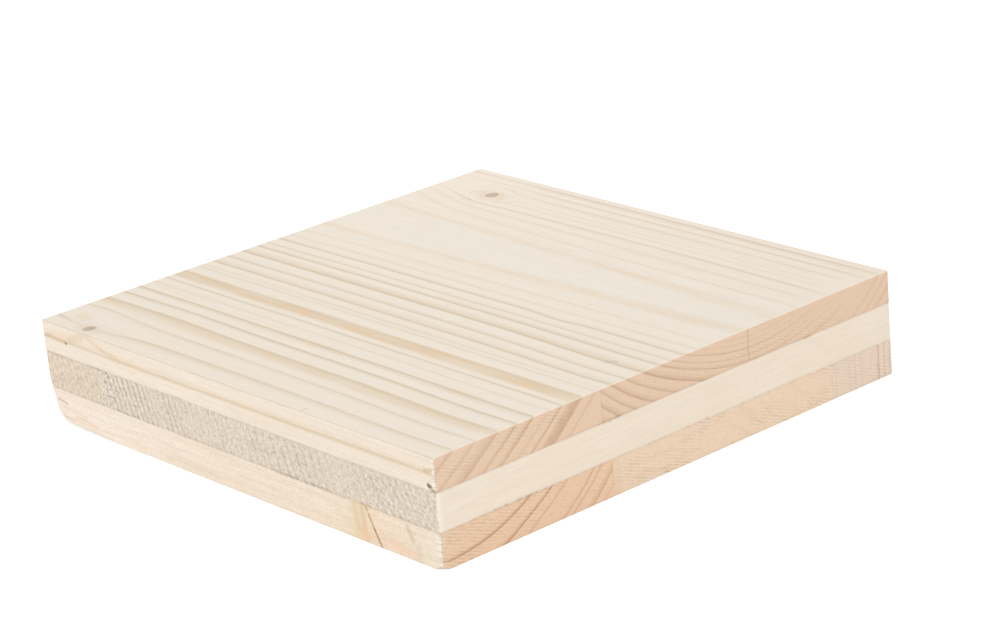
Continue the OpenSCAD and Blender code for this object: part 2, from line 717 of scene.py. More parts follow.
def build_fibres(wires, given):
    """The fine marks of the fibres, along the grain and across its end."""
    place = given["Place"]
    comb = wires.noise(place, COMB)
    fuzz = wires.noise(place, FUZZ)
    mean = (COMB_SHARE + FUZZ_SHARE) / 2
    return {
        "Silk": wires.swing(place, SILK),
        "Streak": wires.swing(place, LONG_STREAKS),
        "Cloud": wires.swing(place, CLOUDS),
        "Duct": wires.ramp(wires.noise(place, DUCTS), DUCT_EDGE),
        "Speck": wires.swing(place, SPECKS),
        "Sawn": wires.plus(
            wires.math("MULTIPLY_ADD", comb, COMB_SHARE, -mean),
            wires.times(fuzz, FUZZ_SHARE),
        ),
    }


FIBRES = shared_group(
    "fibres",
    {"Place": VECTOR},
    {"Silk": MASK, "Streak": MASK, "Cloud": MASK, "Duct": MASK, "Speck": MASK, "Sawn": MASK},
    build_fibres,
)

# %% [markdown]
# ## Saw lines
#
# The ends were cut with a circular saw, which leaves fine parallel lines that slope down
# across the end. Grooves that fine would need a mesh of millions of faces, so they are
# bump and colour. They come and go, so noise fades them in and out, and each one is a
# slight groove: the same mask feeds the bump and paints the light and shade of the relief
# into the colour, each line darker and the wood between lighter.

# %% Saw lines
LINE_JITTER = Grain((3, 3, 3), seed=11.0, detail=1)
JITTER_LINES = 0.7
LINE_SHIVER = Grain((1.1, 1.1, 1.1), seed=19.0, detail=1)
SHIVER_LINES = 0.55
SCORED_PATCHES = Grain((14, 14, 5), seed=12.0)
PATCH_EDGE = (0.42, 0.68)
LINE_GAPS = Grain((2.4, 2.4, 1.0), seed=18.0)
GAP_EDGE = (0.36, 0.6)
FAINT_LINE, STRONG_LINE = 0.25, 1.3


def build_saw_lines(wires, given):
    """Parallel lines that slope down across an end, and come and go."""
    place = given["Place"]
    across, up = wires.parts(place)[1:]
    slope = wires.math("RADIANS", given["Slope"])
    level = wires.plus(
        wires.times(up, wires.math("COSINE", slope)),
        wires.times(across, wires.math("SINE", slope)),
    )
    jitter = wires.times(wires.noise(place, LINE_JITTER), JITTER_LINES)
    shiver = wires.times(wires.noise(place, LINE_SHIVER), SHIVER_LINES)
    level = wires.plus(wires.math("DIVIDE", level, given["Spacing"]), jitter, shiver)
    wave = wires.math("SINE", wires.times(level, 2 * math.pi))
    patch = wires.plus(wires.noise(place, SCORED_PATCHES), given["Scored"])
    gaps = wires.ramp(wires.noise(place, LINE_GAPS), GAP_EDGE, FAINT_LINE, STRONG_LINE)
    return {"Line": wires.times(wave, wires.times(wires.ramp(patch, PATCH_EDGE), gaps))}


SAW_LINES = shared_group(
    "saw_lines",
    {"Place": VECTOR, "Slope": MASK, "Spacing": MASK, "Scored": MASK},
    {"Line": MASK},
    build_saw_lines,
)

# %% [markdown]
# ## Bare spruce
#
# The last group turns the masks into one surface. Long grain and end grain each have a
# pale and a dark colour, because end grain drinks in light and looks deeper and warmer.
# A table says how much each mask lightens or darkens the wood on each kind of surface,
# which is easier to adjust than numbers spread over many nodes.
#
# The mesh carries two masks of its own. One is painted shade, where a chip or a saw stroke
# is deep. The other paints the wood pale, where fibre ends stand up and as a painted
# highlight along some arrises. They make the colour agree with the relief.

# %% Tones
class Tone(NamedTuple):
    """How strongly a mask changes the tone of the wood."""

    mask: str
    long_grain: float = 0.0
    end_grain: float = 0.0
    rough_side: float = 0.0  # on a sawn long side
    rough_end: float = 0.0  # on a sawn end


TONES = (
    Tone("Silk", long_grain=0.07, end_grain=0.02, rough_side=0.12),
    Tone("Sawn", rough_side=0.12),
    Tone("Streak", long_grain=0.05, rough_side=0.05, rough_end=0.35),
    Tone("Speck", rough_end=1.0),
    # Saw lines paint the light and shade of their relief: each line darker, the wood between
    # lighter.
    Tone("Saw", rough_end=-0.35),
)
CLOUD_WARMTH = 0.05
# Darker spruce is browner: for red, green and blue, the share of the tone and the warmth.
CHANNELS = ((0.75, 0.25), (1.0, -0.1), (1.3, -0.5))


def sum_of_tones(wires, given, rough_side, rough_end):
    """The change of tone by every mask, added up."""
    changes = []
    for tone in TONES:
        mask = given[tone.mask]
        if tone.long_grain or tone.end_grain:
            grain = wires.between(given["End"], tone.long_grain, tone.end_grain)
            changes.append(wires.times(mask, grain))
        if tone.rough_side:
            changes.append(wires.times(mask, rough_side, tone.rough_side))
        if tone.rough_end:
            changes.append(wires.times(mask, rough_end, tone.rough_end))
    return wires.plus(*changes)


# %% Bare spruce
DUCT_COLOUR = paint(150, 122, 92)
# Pale frayed fibre ends, and the painted highlights along some arrises.
FRAYED_AND_HIGHLIGHT_COLOUR = paint(250, 243, 230)
END_BAND = 0.25
LINE_HEIGHT = 0.006
SILK_HEIGHT = 0.012
SPECK_HEIGHT = 0.05
SAW_HEIGHT = 0.25
ROUGHNESS = 0.62
SILK_ROUGHNESS = 0.06
END_ROUGHNESS = 0.12


def build_spruce(wires, given):
    """The colour, height and roughness of bare wood, from all the masks."""
    end = given["End"]
    long_grain = wires.math("SUBTRACT", 1.0, end)
    rough_end = wires.times(end, given["Grit"])
    rough_side = wires.times(long_grain, given["Rough side"])

    pale = wires.mix(end, given["Pale"], given["End pale"])
    dark = wires.mix(end, given["Dark"], given["End dark"])
    colour = wires.mix(wires.times(given["Band"], long_grain), pale, given["Brown"])
    line = wires.plus(given["Line"], wires.times(given["Band"], end, END_BAND))
    colour = wires.mix(line, colour, dark)

    tone = sum_of_tones(wires, given, rough_side, rough_end)
    warmth = wires.times(given["Cloud"], CLOUD_WARMTH)
    shade = [wires.plus(1.0, wires.times(tone, part), wires.times(warmth, tint))
             for part, tint in CHANNELS]
    colour = wires.mix(1.0, colour, wires.outputs("CombineXYZ", *shade)[0], blend="MULTIPLY")
    colour = wires.mix(wires.times(given["Duct"], long_grain), colour, DUCT_COLOUR)
    # Paler for frayed fibre ends and for painted highlights, then painted shade in hollows.
    colour = wires.mix(given["Frayed"], colour, FRAYED_AND_HIGHLIGHT_COLOUR)
    colour = wires.mix(given["Hollow"], colour, given["Shade"])

    height = wires.plus(
        wires.times(line, LINE_HEIGHT),
        wires.times(given["Silk"], SILK_HEIGHT),
        wires.times(given["Speck"], end, SPECK_HEIGHT),
        wires.times(given["Saw"], rough_end, SAW_HEIGHT),
    )
    roughness = wires.plus(
        ROUGHNESS,
        wires.times(given["Silk"], SILK_ROUGHNESS),
        wires.times(end, END_ROUGHNESS),
    )
    return {"Colour": colour, "Height": height, "Roughness": roughness}


SPRUCE = shared_group(
    "spruce",
    {
        "Line": MASK, "Band": MASK, "End": MASK, "Grit": MASK, "Rough side": MASK,
        "Silk": MASK, "Streak": MASK, "Cloud": MASK, "Duct": MASK, "Speck": MASK,
        "Sawn": MASK, "Saw": MASK, "Hollow": MASK, "Frayed": MASK,
        "Pale": COLOUR, "Dark": COLOUR, "Brown": COLOUR, "End pale": COLOUR, "End dark": COLOUR,
        "Shade": COLOUR,
    },
    {"Colour": COLOUR, "Height": MASK, "Roughness": MASK},
    build_spruce,
)

# %% [markdown]
# ## One plan for each board
#
# What differs from board to board is gathered in a plan: where the pith of its tree lay,
# which rings it shows, where branches pushed them, its knots and its colours. Places are
# in millimetres, as (along the grain, across it, up) from the middle of the underside.
# The material builder is the same for all.

# %% Plans
WIDE = 1000.0
TOP_FACE = HIGH.z
SIDE_FACE = LOW.y
END_FACE = HIGH.x

Tint = namedtuple("Tint", "spot colour")
Stain = namedtuple("Stain", "start end width strength colour")


class Colours(NamedTuple):
    """The colours of one kind of board."""

    # Face and side are the same long grain. The side colour differs partly as painted light,
    # evening out how differently the lamps light the top and the sides.
    face: tuple
    side: tuple
    dark: tuple  # late wood on the long grain
    brown: tuple  # a year with a broad brown band
    end_pale: tuple
    end_dark: tuple
    shade: tuple  # deep in a hollow


class Plan(NamedTuple):
    """All that sets one board apart from the others."""

    slot: str
    crosswise: bool
    pith: tuple
    colours: Colours
    grit: float  # how strong specks and saw lines are on the end
    rough_side: float  # how woolly the sawn long side is
    wander: float = 0.3  # how far the growth strays from a true circle
    lean: tuple = (0, 0, 0)  # of the pith, for each millimetre along the grain
    rings: tuple = ()
    long_line: float = 1.0  # how strong the listed rings are on the long grain
    end_line: float = 1.0  # and on the end
    spacing: float = 3.0  # of the even rings
    even: float = 0.0  # how strong the even rings are on the long grain
    end_even: float = 0.0  # and on the end
    swellings: tuple = ()  # where a branch pushed the rings
    calm: tuple = ()  # where the rings are faint
    scored: tuple = ()  # where the saw lines are clear
    ducts: float = 0.07
    tints: tuple = ()
    stains: tuple = ()
    knots: tuple = ()


def side_stain(start, end, width, strength, colour):
    """A stain on the long side, between two places given as (x, z)."""
    start, end = ((x, SIDE_FACE, z) for x, z in (start, end))
    return Stain(start, end, width, strength, paint(*colour))


print("faces at", [round(level, 2) for level in (TOP_FACE, SIDE_FACE, END_FACE)])

# %% Colours of the boards
FACE_COLOURS = Colours(
    face=paint(240, 228.5, 212),
    side=paint(241.5, 227.5, 210),
    dark=paint(206.5, 186, 154),
    brown=paint(233, 208, 178),
    end_pale=paint(229.5, 201, 174),
    end_dark=paint(184, 144, 112),
    shade=paint(140, 114, 86),
)
CORE_COLOURS = Colours(
    face=paint(238, 224, 205),
    side=paint(238, 224, 205),
    dark=paint(220, 200, 172),
    brown=paint(232, 208, 178),
    end_pale=paint(231, 217, 200),
    end_dark=paint(196, 180, 160),
    shade=paint(136, 122, 102),
)
CORE_TAN_COLOURS = CORE_COLOURS._replace(
    end_pale=paint(232.5, 214.5, 192.5),
    end_dark=paint(200, 176, 148),
)
BACK_COLOURS = Colours(
    face=paint(240, 226, 208),
    side=paint(241, 226, 206),
    dark=paint(222, 190, 154),
    brown=paint(232, 202, 168),
    end_pale=paint(233.5, 201.5, 171),
    end_dark=paint(176, 124, 88),
    shade=paint(140, 114, 86),
)
BACK_PALE_COLOURS = BACK_COLOURS._replace(
    end_pale=paint(237, 213.5, 187.5),
    end_dark=paint(206, 166, 136),
)
BACK_PINK_COLOURS = BACK_COLOURS._replace(
    end_pale=paint(233, 212.5, 193),
    end_dark=paint(196, 160, 138),
)
print("end grain of the face is", [round(part, 3) for part in FACE_COLOURS.end_pale])

# %% [markdown]
# ## Top boards
#
# The first board was sawn far out in its tree, so its rings are almost straight and cross
# the end as slanting bands. The second lay closer to its pith, and its rings are arcs on
# the end. On the face both show lines that bend round a small knot. The stains are resin
# and dirt along the side and a few small marks on the face. At the torn arris, the darker
# stains in the pits are painted shade, and the near-white ones beside them are pale torn
# fibre.

# %% Top boards
PLANS = {}
PLANS["top_board_1"] = Plan(
    slot="face_spruce",
    crosswise=False,
    pith=(0, -183.5, 192),
    colours=FACE_COLOURS,
    grit=0.17,
    rough_side=0.7,
    wander=0.25,
    rings=[
        Ring(201.75, 1.4, 0.54, 0.15, edge=0.45),
        Ring(205.7, 1.0, 0.5, edge=0.5),
        Ring(209.8, 2.8, 0.6, 0.6, edge=0.5),
        Ring(213.2, 1.1, 0.85, edge=0.35),
        Ring(216.35, 1.4, 0.8, 0.1, edge=0.35),
        Ring(219.25, 0.6, 0.3, edge=0.4),
        Ring(221.8, 0.7, 0.75, edge=0.35),
        Ring(225.8, 2.9, 0.4, 0.95, edge=0.7, rise=0.3),
        Ring(228.8, 0.6, 0.35, edge=0.5),
    ],
    end_line=0.9,
    swellings=[
        Spot((58, -58, TOP_FACE), (22, 14, WIDE), 1.0),
        Spot((-45, -52, TOP_FACE), (20, 7, WIDE), -0.9),
        Spot((-66, -60, TOP_FACE), (14, 5, WIDE), -1.5),
        Spot((-60, -68, TOP_FACE), (14, 4, 6), 3.0),
    ],
    calm=[
        Spot((-60, -68, TOP_FACE), (8, 6, 3), 0.8),
        Spot((END_FACE, -58, 22), (5, 10, WIDE), 0.35),
    ],
    tints=[
        Tint(Spot((-60, -66, TOP_FACE), (16, 9, 3), 0.5), paint(238, 227, 214)),
        Tint(Spot((0, -43.8, TOP_FACE), (9, 1.3, 3), 0.6), paint(232, 212, 184)),
        Tint(Spot((52, -43.8, TOP_FACE), (6, 1.2, 3), 0.45), paint(232, 212, 184)),
    ],
    stains=[
        side_stain((-65.4, 22.8), (-65.0, 22.7), 0.5, 0.9, (110, 94, 66)),
        side_stain((-73.8, 23.3), (-65.6, 22.8), 0.8, 0.5, (208, 182, 134)),
        side_stain((-70.5, 24.0), (-62, 25.0), 1.7, 0.25, (240, 208, 182)),
        side_stain((-63.4, 23.7), (-57.8, 25.9), 1.5, 0.4, (220, 198, 158)),
        side_stain((-56.4, 26.5), (-49.6, 24.2), 0.9, 0.4, (222, 196, 160)),
        side_stain((-49.6, 24.2), (-42.5, 23.1), 1.0, 0.4, (222, 196, 160)),
        side_stain((-46, 23.05), (74, 22.9), 0.65, 0.2, (222, 194, 150)),
        Stain((29, -73.4, TOP_FACE), (29, -71.2, TOP_FACE), 0.35, 0.5, paint(196, 182, 158)),
        Stain((-68.3, -65.8, TOP_FACE), (-65.3, -66.4, TOP_FACE), 2.2, 0.45, paint(236, 212, 182)),
        # The last five lie at the pits of the torn arris. The darker ones are painted shade in the
        # pits, and the near-white ones are pale torn fibre beside them.
        side_stain((71.8, 23.4), (73.8, 23.5), 0.75, 0.6, (206, 186, 142)),
        side_stain((72.7, 20.1), (73.1, 19.8), 0.8, 0.85, (116, 94, 68)),
        side_stain((73.7, 19.1), (74.9, 18.8), 0.7, 0.5, (182, 148, 108)),
        side_stain((71.9, 19.7), (72.0, 19.3), 0.5, 0.7, (255, 248, 236)),
        side_stain((73.6, 19.7), (74.2, 19.6), 0.5, 0.7, (255, 244, 226)),
    ],
    knots=[Knot((-58.7, -70.3, TOP_FACE), (0, 0.567, -0.824), 1.48, (0.5, 0.8, 0), 0.12)],
)
PLANS["top_board_2"] = Plan(
    slot="face_spruce",
    crosswise=False,
    pith=(0, 27.5, 85),
    colours=FACE_COLOURS,
    grit=0.14,
    rough_side=0.7,
    wander=0.3,
    lean=(0, 0, 0.0045),
    rings=[
        Ring(58.7, 0.35, 0.0, 0.5, edge=0.35),
        Ring(60.22, 0.3, 0.3, edge=0.3),
        Ring(61.65, 0.4, 0.4, edge=0.25),
        Ring(63.16, 0.6, 0.85, edge=0.25),
        Ring(64.85, 0.5, 0.6, edge=0.25),
        Ring(66.39, 0.8, 0.8, edge=0.3),
        Ring(69.01, 1.6, 0.82, 0.3, edge=0.3),
        Ring(71.85, 1.0, 0.62, 0.2, edge=0.35),
        Ring(74.78, 1.6, 0.75, 0.1, edge=0.35),
        Ring(77.4, 1.2, 0.6, 0.2),
        Ring(80.2, 1.5, 0.7, 0.3),
        Ring(83.0, 1.5, 0.6, 0.2),
    ],
    end_line=0.8,
    swellings=[
        Spot((66, -15, TOP_FACE), (26, 14, WIDE), 1.3),
        Spot((33, 3, TOP_FACE), (7, 3, WIDE), 0.8),
        Spot((0, 75, TOP_FACE), (WIDE, 14, WIDE), 4.6),
        Spot((20, 43, TOP_FACE), (60, 5, WIDE), 1.9),
        Spot((30, 52.5, TOP_FACE), (60, 5, WIDE), -1.3),
        Spot((-76, 52, TOP_FACE), (15, 10, WIDE), -5.0),
        Spot((-54, 54, TOP_FACE), (9, 4, WIDE), 1.4),
        Spot((-54, 64, TOP_FACE), (9, 4, WIDE), -1.2),
    ],
    calm=[
        Spot((0, 59.5, TOP_FACE), (WIDE, 5, 6), 0.8),
        Spot((0, 48, TOP_FACE), (WIDE, 6, 6), 0.3),
        Spot((0, 8, TOP_FACE), (WIDE, 5, 6), 0.3),
        Spot((END_FACE, 52, 22), (6, 34, WIDE), 0.6),
        Spot((-62, 66, TOP_FACE), (18, 8, 6), 0.7),
    ],
    tints=[
        Tint(Spot((0, 28, TOP_FACE), (WIDE, 16, 6), 0.9), paint(237.5, 228.5, 214.5)),
        Tint(Spot((-56, 60, TOP_FACE), (18, 9, 6), 0.4), paint(240, 230, 212)),
    ],
    stains=[
        Stain((65.3, -9.3, TOP_FACE), (63.4, -10.6, TOP_FACE), 0.9, 0.65, paint(202, 194, 168)),
    ],
    knots=[Knot((-53.9, 58.8, TOP_FACE), (0, 0.477, -0.879), 1.88, (0.75, 0.45, 0), 0.62)],
)

# %% [markdown]
# ## Core boards
#
# The core boards lie crosswise, so their ends show on the long side of the panel. A
# narrow tan board lies beside a wide paler one. Neither has a ring that stands out, so
# both get even rings, fainter on the long grain than on the end.

# %% Core boards
PLANS["core_board_1"] = Plan(
    slot="core_spruce",
    crosswise=True,
    pith=(0, -20, -70),
    colours=CORE_TAN_COLOURS,
    grit=0.26,
    rough_side=0.3,
    wander=0.4,
    spacing=2.6,
    even=0.1,
    end_even=0.35,
    ducts=0.04,
)
PLANS["core_board_2"] = Plan(
    slot="core_spruce",
    crosswise=True,
    pith=(0, 89.7, 34),
    colours=CORE_COLOURS,
    grit=0.26,
    rough_side=0.3,
    spacing=1.7,
    even=0.04,
    end_even=0.25,
    ducts=0.03,
)

# %% [markdown]
# ## Bottom boards
#
# The back ply is of lesser wood. The first board has strong rings on its end, and along
# its side it shows dirt, scratches and tan patches. The second is plainer, with even
# rings. The third is pinkish, and its rings stand almost upright on the end, because its
# pith lay far off to the side.

# %% Bottom boards
PLANS["bottom_board_1"] = Plan(
    slot="back_spruce",
    crosswise=False,
    pith=(0, -72.8, 53),
    colours=BACK_COLOURS,
    grit=0.22,
    rough_side=1.4,
    rings=[
        Ring(51.0, 0.9, 1.0, edge=0.25),
        Ring(54.7, 0.8, 0.95, edge=0.25),
        Ring(57.6, 0.6, 0.5),
        Ring(63.5, 0.8, 0.55),
        Ring(65.2, 0.7, 0.5),
        Ring(69.0, 1.6, 0.4, 0.4),
        Ring(71.5, 0.7, 0.3),
    ],
    long_line=0.3,
    end_line=0.9,
    swellings=[Spot((END_FACE, -54.5, -2), (WIDE, 8, 4), -4.5)],
    scored=[Spot((END_FACE, -68, 5), (5, 11, 7), 0.22)],
    ducts=0.03,
    tints=[
        Tint(Spot((-75, SIDE_FACE, 4), (55, 6, 9), 0.8), paint(246, 231, 217)),
        Tint(Spot((57, SIDE_FACE, 4), (13, 6, 9), 0.45), paint(241, 214, 186)),
        Tint(Spot((71, SIDE_FACE, 3.5), (3.5, 5, 6), 0.8), paint(240, 228, 208)),
    ],
    stains=[
        side_stain((46.6, 8.6), (47.4, 1.2), 4.2, 0.6, (233, 211, 176)),
        side_stain((45.4, 9.0), (46.4, 3.0), 1.0, 0.4, (222, 198, 156)),
        side_stain((47.9, 9.2), (48.7, 3.4), 1.1, 0.5, (222, 196, 154)),
        side_stain((44.6, 2.4), (45.4, 0.8), 1.3, 0.5, (231, 218, 178)),
        side_stain((47.8, 3.0), (49.2, 1.2), 1.8, 0.6, (241, 202, 166)),
        side_stain((50.3, 8.0), (54.6, 0.2), 1.4, 0.4, (243, 214, 180)),
        side_stain((49.6, 9.1), (50.0, 8.3), 0.6, 0.6, (186, 154, 112)),
        side_stain((50.3, 7.4), (52.2, 3.8), 0.5, 0.65, (180, 142, 104)),
        side_stain((52.0, 4.1), (54.1, 0.4), 0.5, 0.75, (168, 126, 88)),
        side_stain((63.8, 7.9), (65.5, 5.1), 1.0, 0.55, (212, 188, 154)),
        side_stain((67.0, 3.6), (67.4, 0.2), 1.3, 0.5, (222, 208, 186)),
        side_stain((58.5, 2.4), (61.5, 1.6), 1.8, 0.4, (243, 208, 178)),
        side_stain((64.0, 1.6), (66.0, 0.8), 1.4, 0.45, (244, 208, 180)),
        side_stain((-72, 6.4), (-68, 5.8), 0.5, 0.5, (190, 158, 120)),
        side_stain((-65, 3.2), (-56, 2.4), 0.35, 0.45, (226, 186, 140)),
        side_stain((-70, 4.6), (-60, 4.0), 0.5, 0.35, (226, 196, 160)),
    ],
)
PLANS["bottom_board_2"] = Plan(
    slot="back_spruce",
    crosswise=False,
    pith=(0, -13.5, -40),
    colours=BACK_PALE_COLOURS,
    grit=0.24,
    rough_side=1.4,
    wander=0.5,
    spacing=4.2,
    even=0.45,
    end_even=0.28,
    stains=[
        Stain((END_FACE, -20.9, 0), (END_FACE, -20.9, 9), 3.0, 0.4, paint(229, 199, 167)),
    ],
)
PLANS["bottom_board_3"] = Plan(
    slot="back_spruce",
    crosswise=False,
    pith=(0, -473.5, 4.6),
    colours=BACK_PINK_COLOURS,
    grit=0.2,
    rough_side=1.4,
    end_line=0.9,
    rings=[
        Ring(525.5, 0.6, 0.25),
        Ring(527.0, 0.6, 0.2),
        Ring(532.0, 0.8, 0.2),
        Ring(533.8, 0.8, 0.25),
        Ring(536.0, 1.0, 0.25),
        Ring(542.3, 1.2, 0.7, 0.2),
        Ring(544.4, 0.8, 0.5, 0.1),
        Ring(546.2, 0.8, 0.35),
    ],
    long_line=0.7,
)

# %% [markdown]
# ## From plan to material
#
# One builder turns a plan into a material. The masks and the bare wood come from the
# shared groups. The rings, tints, stains and knots differ in number from board to board,
# so they are wired here, one after the other.

# %% Which way the surface faces
FACING_EDGE = (0.55, 0.8)


def facing(wires, axis):
    """1 where the surface faces along an axis, 0 where it runs along it."""
    normal = wires.node("TexCoord").outputs["Normal"]
    return wires.ramp(wires.math("ABSOLUTE", wires.parts(normal)[axis]), FACING_EDGE)


def mesh_mask(wires, name):
    """A mask that the mesh carries."""
    return wires.node("Attribute", attribute_name=name).outputs["Fac"]


# %% Rings of a board
BAND_PATCHES = Grain((16, 2.5, 2.5), seed=16.0, detail=1)
BAND_PATCH_EDGE = (0.3, 0.65)
FAINT_BAND, STRONG_BAND = 0.55, 1.1


def ring_masks(wires, place, end, plan):
    """The masks of late wood and of brown bands for one board."""
    shift = sum_of_spots(wires, place, plan.swellings)
    radius = wires.use(GROWTH, "Radius", Place=place, Pith=plan.pith, Lean=plan.lean,
                       Wander=plan.wander, Shift=shift)
    line, band = 0.0, 0.0
    if plan.rings:
        line, band = listed_rings(wires, radius, plan.rings)
        seen = wires.between(end, plan.long_line, plan.end_line)
        if plan.calm:
            calm = wires.math("SUBTRACT", 1.0, sum_of_spots(wires, place, plan.calm))
            seen = wires.times(seen, wires.share(calm))
        line = wires.times(line, seen)
        patches = wires.noise(place, BAND_PATCHES)
        patches = wires.ramp(patches, BAND_PATCH_EDGE, FAINT_BAND, STRONG_BAND)
        band = wires.times(band, seen, patches)
    if plan.even or plan.end_even:
        even = wires.use(EVEN_RINGS, "Line", Place=place, Radius=radius, Spacing=plan.spacing)
        line = wires.plus(line, wires.times(even, wires.between(end, plan.even, plan.end_even)))
    return line, band


# %% Stains and knots of a board
HALO_COLOUR, HALO_SHARE = paint(230, 209, 184), 0.65
WHORL_COLOUR = paint(216, 190, 160)
HEART_COLOUR = paint(196, 177, 157)
CRESCENT_COLOUR, CRESCENT_SHARE = paint(164, 142, 116), 0.3


def with_marks(wires, place, plan, colour):
    """The colour of the wood with the stains and knots of one board on it."""
    for stain in plan.stains:
        mask = wires.use(STREAK, "Mask", Place=place, Start=stain.start, End=stain.end,
                         Width=stain.width)
        colour = wires.mix(wires.times(mask, stain.strength), colour, stain.colour)
    for knot in plan.knots:
        marks = wires.use(KNOT, Place=place, Centre=knot.centre, Axis=knot.axis,
                          Radius=knot.radius, Dark_side=knot.dark_side)
        for mark, share, tint in (("Halo", HALO_SHARE, HALO_COLOUR),
                                  ("Whorl", knot.whorl, WHORL_COLOUR),
                                  ("Heart", 1.0, HEART_COLOUR),
                                  ("Crescent", CRESCENT_SHARE, CRESCENT_COLOUR)):
            colour = wires.mix(wires.times(marks[mark], share), colour, tint)
    return colour


# %% Material of a board
SAW_SLOPE = 20.0
SAW_SPACING = 0.8
GLOSS = 0.25


def board_material(name, plan):
    """The bare spruce of one board, from its plan."""
    material = bpy.data.materials.new("spruce_of_" + name)
    material.use_nodes = True
    wires = Wiring(material.node_tree)
    place = place_in_wood(wires, plan.crosswise)
    end = facing(wires, 1 if plan.crosswise else 0)
    flat = facing(wires, 2)
    line, band = ring_masks(wires, place, end, plan)

    # The sides take the side colour, which is partly painted light.
    pale = wires.mix(flat, plan.colours.side, plan.colours.face)
    for tint in plan.tints:
        pale = wires.mix(sum_of_spots(wires, place, [tint.spot]), pale, tint.colour)

    fibres = wires.use(FIBRES, Place=place)
    saw = wires.use(SAW_LINES, "Line", Place=place, Slope=SAW_SLOPE, Spacing=SAW_SPACING,
                    Scored=sum_of_spots(wires, place, plan.scored))
    made = wires.use(
        SPRUCE, Line=line, Band=band, End=end, Saw=saw, Grit=plan.grit,
        Rough_side=wires.between(flat, plan.rough_side, 0.0),
        Silk=fibres["Silk"], Streak=fibres["Streak"], Cloud=fibres["Cloud"],
        Duct=wires.times(fibres["Duct"], plan.ducts), Speck=fibres["Speck"],
        Sawn=fibres["Sawn"],
        # The painted shade, and the paleness of frayed fibres and painted highlights, from the
        # mesh.
        Hollow=mesh_mask(wires, "hollow"), Frayed=mesh_mask(wires, "frayed"),
        Pale=pale, Dark=plan.colours.dark, Brown=plan.colours.brown,
        End_pale=plan.colours.end_pale, End_dark=plan.colours.end_dark,
        Shade=plan.colours.shade,
    )

    shader = material.node_tree.nodes["Principled BSDF"].inputs
    wires.feed(shader["Base Color"], with_marks(wires, place, plan, made["Colour"]))
    wires.feed(shader["Roughness"], made["Roughness"])
    shader["Specular IOR Level"].default_value = GLOSS
    bump = wires.node("Bump")
    bump.inputs["Distance"].default_value = MM
    wires.feed(bump.inputs["Height"], made["Height"])
    wires.feed(shader["Normal"], bump.outputs["Normal"])
    print(material.name, "has", len(material.node_tree.nodes), "nodes")
    return material


# %% [markdown]
# ## The blocks
#
# Each board starts as a plain block of its own size. Only its outside edges were touched
# by saw and sandpaper, so only those are beveled, and the glued edges stay sharp. The
# block is then cut into a fine grid, because the saw marks and torn fibres that follow
# are moved vertices. The glued faces need no grid, so each is melted back into one.

# %% Grid
EASE = 0.3
EASE_STEPS = 2
# How far apart the lines of the grid are, along X, Y and Z.
PITCH = {
    "top_board_1": (0.75, 0.5, 0.2),
    "top_board_2": (0.75, 0.5, 0.4),
    "core_board_1": (0.3, 0.5, 0.3),
    "core_board_2": (0.25, 0.5, 0.3),
    "bottom_board_1": (0.75, 0.5, 0.2),
    "bottom_board_2": (0.9, 0.5, 0.45),
    "bottom_board_3": (0.9, 0.5, 0.45),
}
TORN_REACH = 3.2
TORN_STEP = 0.25
TORN_CUTS = [(0, HIGH.x - TORN_REACH + TORN_STEP * step)
             for step in range(int(TORN_REACH / TORN_STEP))]
CHECK_Y = 24.2
CHECK_HALF = 0.18
EXTRA_CUTS = {
    "top_board_1": TORN_CUTS,
    "bottom_board_1": TORN_CUTS,
    "top_board_2": [(1, CHECK_Y + CHECK_HALF * step) for step in (-1, 0, 1)],
}
print("the torn arris gets", len(TORN_CUTS), "more cuts")

# %% Outer and glued faces
# Within these, in millimetres, a place counts as near a plane or right in it.
NEAR, EXACT = 0.01, 0.001
SQUARE_ON = 0.99
MOST_GRID_CORNERS = 8


def on_outside(point, axis):
    """Whether a place in millimetres is on one of the panel's two outer planes."""
    return min(abs(point[axis] - LOW[axis]), abs(point[axis] - HIGH[axis])) < NEAR


def is_outer(face):
    """Whether a face of a plain block is on the outside of the panel."""
    axis = max(range(3), key=lambda k: abs(face.normal[k]))
    return on_outside(face.calc_center_median(), axis)


def is_glued(face):
    """Whether a face is a melted one: it has far more corners than those of the grid."""
    return len(face.verts) > MOST_GRID_CORNERS


def glued_planes(low, high):
    """The planes, (axis, level), in which a board is glued to its neighbours."""
    return [(axis, side[axis]) for axis in range(3) for side in (low, high)
            if not on_outside(side, axis)]


